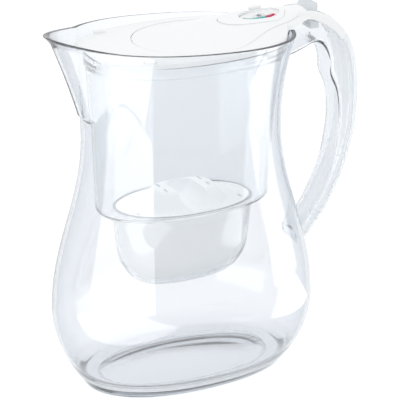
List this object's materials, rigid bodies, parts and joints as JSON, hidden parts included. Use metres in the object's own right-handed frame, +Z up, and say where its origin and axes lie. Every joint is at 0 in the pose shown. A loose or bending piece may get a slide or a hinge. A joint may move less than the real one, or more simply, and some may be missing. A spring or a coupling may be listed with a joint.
{
  "type": "water filter pitcher",
  "caption": "Clear waisted pitcher with spout and hollow handle, holding a lift-out reservoir with a filter cartridge under a lid with a flip door and a filter gauge.",
  "frame": {"origin": "middle of the foot's standing face, on the surface that the pitcher stands on", "axes": "+Z up, +X from the jug's middle towards the handle, the spout along -X, +Y across"},
  "size_m": [0.2522, 0.1478, 0.2742],
  "materials": {
    "clear_jug": "clear moulded plastic, gloss",
    "clear_handle_strip": "frosted moulded plastic",
    "clear_reservoir": "clear moulded plastic",
    "white_cap": "moulded",
    "clear_cartridge": "cloudy moulded plastic",
    "carbon": "granules",
    "white_mesh": "moulded",
    "white_lid": "satin moulded plastic",
    "grey_bracket": "moulded",
    "steel": "polished",
    "white_door": "satin moulded plastic",
    "white_liner": "moulded",
    "grey_lever": "translucent moulded plastic",
    "white_gauge": "gloss moulded plastic",
    "clear_window": "clear gloss",
    "dial_card": "printed card",
    "teal_ink": "printed ink",
    "red_ink": "printed ink",
    "display_glass": "liquid crystal display",
    "green_board": "solder mask",
    "black_switch": "moulded",
    "cell_steel": "satin",
    "spring_brass": "sprung strip",
    "white_button": "gloss moulded plastic"
  },
  "bodies": {
    "jug": {"jug": "clear_jug", "handle_back_strip": "clear_handle_strip"},
    "reservoir": {"reservoir": "clear_reservoir"},
    "cartridge": {"cartridge_cap": "white_cap", "cartridge_shell": "clear_cartridge", "cartridge_media": "carbon", "cartridge_top_screen": "white_mesh", "cartridge_base_screen": "white_mesh"},
    "lid": {"lid_frame": "white_lid", "lid_catches": "white_lid", "hinge_bracket": "grey_bracket", "hinge_pin": "steel"},
    "door": {"flip_door": "white_door", "door_liner": "white_liner", "door_liner_screws": "steel", "thumb_lever": "grey_lever", "thumb_lever_screws": "steel", "gauge_housing": "white_gauge", "gauge_window": "clear_window", "gauge_dial": "dial_card", "gauge_arc_fresh": "teal_ink", "gauge_arc_spent": "red_ink", "gauge_display": "display_glass", "gauge_board": "green_board", "gauge_switch": "black_switch", "coin_cell": "cell_steel", "cell_contact": "spring_brass", "gauge_back": "white_gauge", "gauge_back_screws": "steel"},
    "button": {"reset_button": "white_button"}
  },
  "joints": [
    {"name": "reservoir_lift", "type": "slide", "parent": "jug", "child": "reservoir", "axis": [0, 0, 1], "range_m": [0, 0.2]},
    {"name": "cartridge_lift", "type": "slide", "parent": "reservoir", "child": "cartridge", "axis": [0, 0, 1], "range_m": [0, 0.065]},
    {"name": "lid_lift", "type": "slide", "parent": "reservoir", "child": "lid", "axis": [0, 0, 1], "range_m": [0, 0.06]},
    {"name": "door_flip", "type": "hinge", "parent": "lid", "child": "door", "pos_m": [0.105, 0, 0.2604], "axis": [0, 1, 0], "range_deg": [0, 60]},
    {"name": "reset_press", "type": "slide", "parent": "door", "child": "button", "axis": [0.0872, 0, -0.9962], "range_m": [0, 0.0008], "stiffness_N_per_m": 400}
  ]
}
